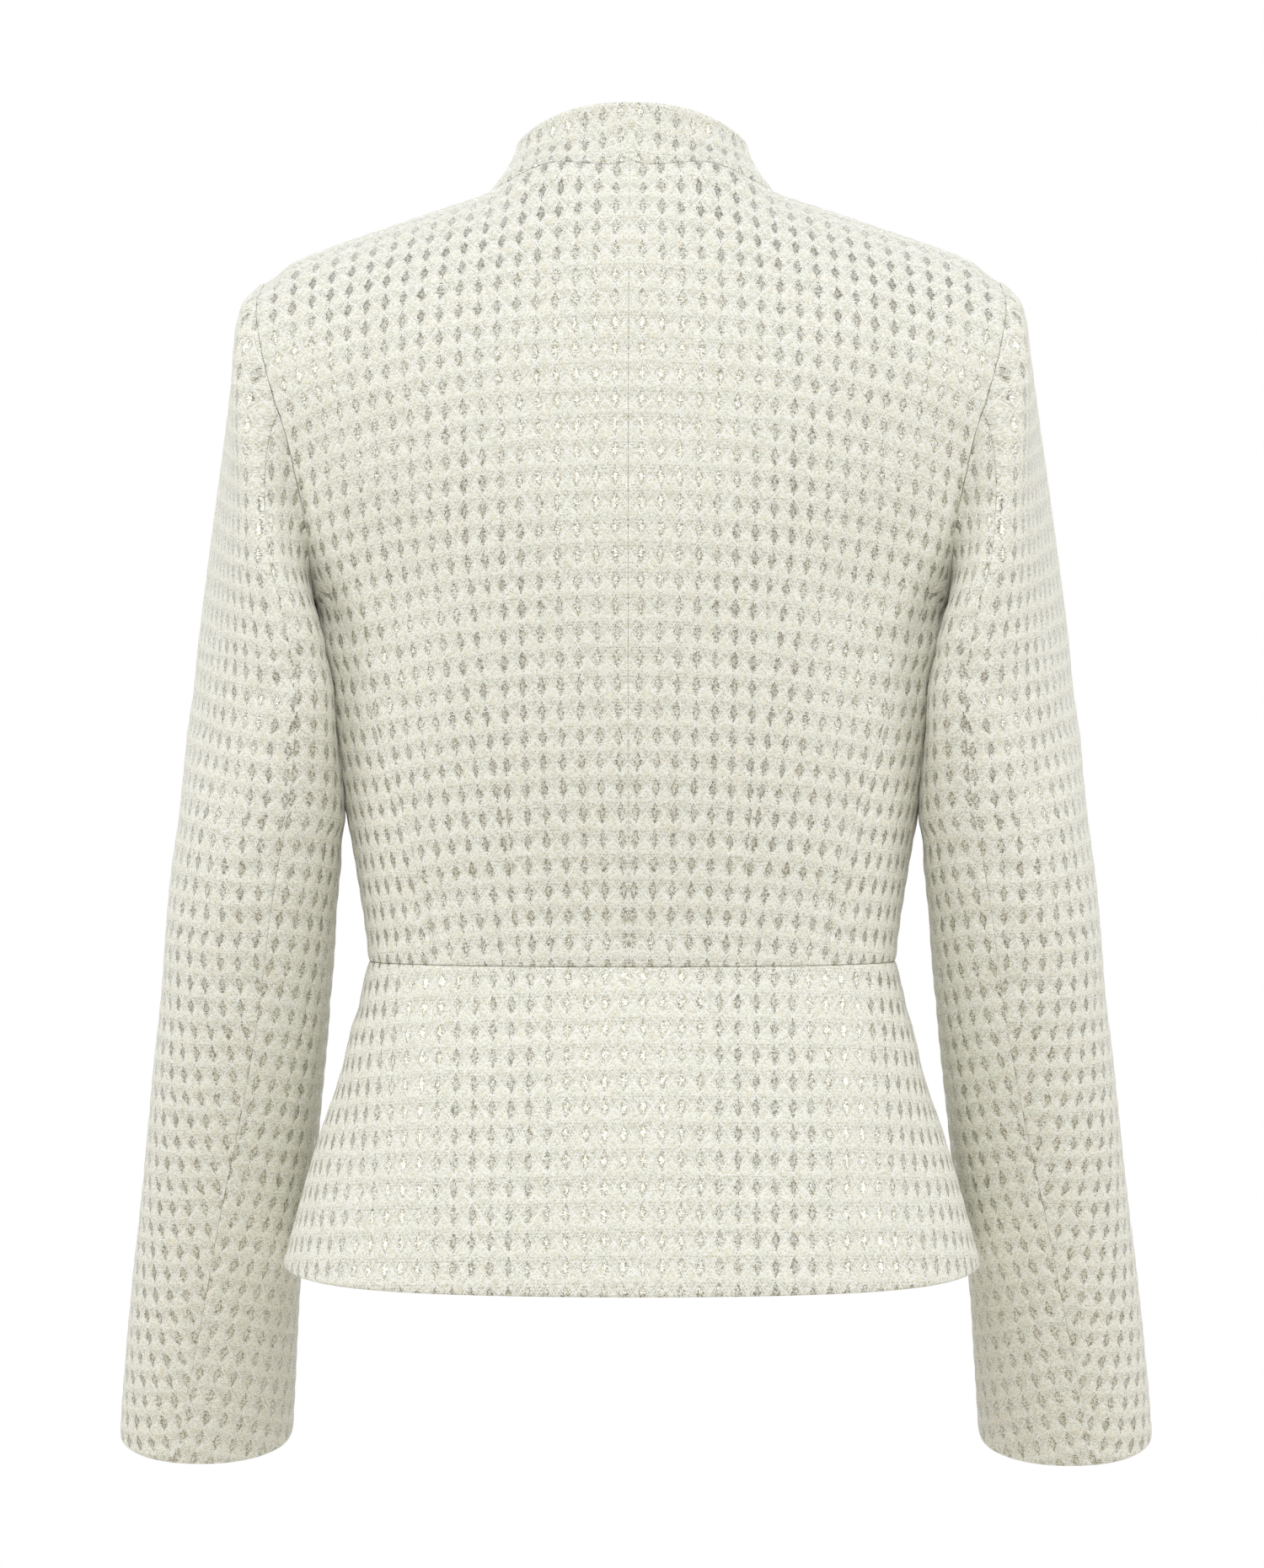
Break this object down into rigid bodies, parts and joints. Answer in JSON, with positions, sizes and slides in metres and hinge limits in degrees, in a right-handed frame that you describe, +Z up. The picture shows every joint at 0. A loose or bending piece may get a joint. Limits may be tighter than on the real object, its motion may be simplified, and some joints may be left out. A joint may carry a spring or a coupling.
{
  "type": "mandarin collar peplum jacket",
  "caption": "Fitted short jacket with a stand collar, padded shoulders, long two-piece sleeves, a waist seam and a flared peplum, worn form, hollow.",
  "frame": {"origin": "middle of the neck opening, level with the seam of the collar at the nape", "axes": "+Z up; the jacket's front faces -Y; +X is the wearer's left"},
  "size_m": [0.5588, 0.2712, 0.7145],
  "materials": {
    "cloth": "ivory puffed weave with metallic thread"
  },
  "bodies": {
    "root": {"collar": "cloth", "peplum_back": "cloth", "back_left": "cloth", "back_right": "cloth", "side_back_left": "cloth", "side_back_right": "cloth", "front_left": "cloth", "front_right": "cloth", "peplum_front_left": "cloth", "peplum_front_right": "cloth", "upper_sleeve_left": "cloth", "upper_sleeve_right": "cloth", "under_sleeve_left": "cloth", "under_sleeve_right": "cloth"}
  },
  "joints": []
}
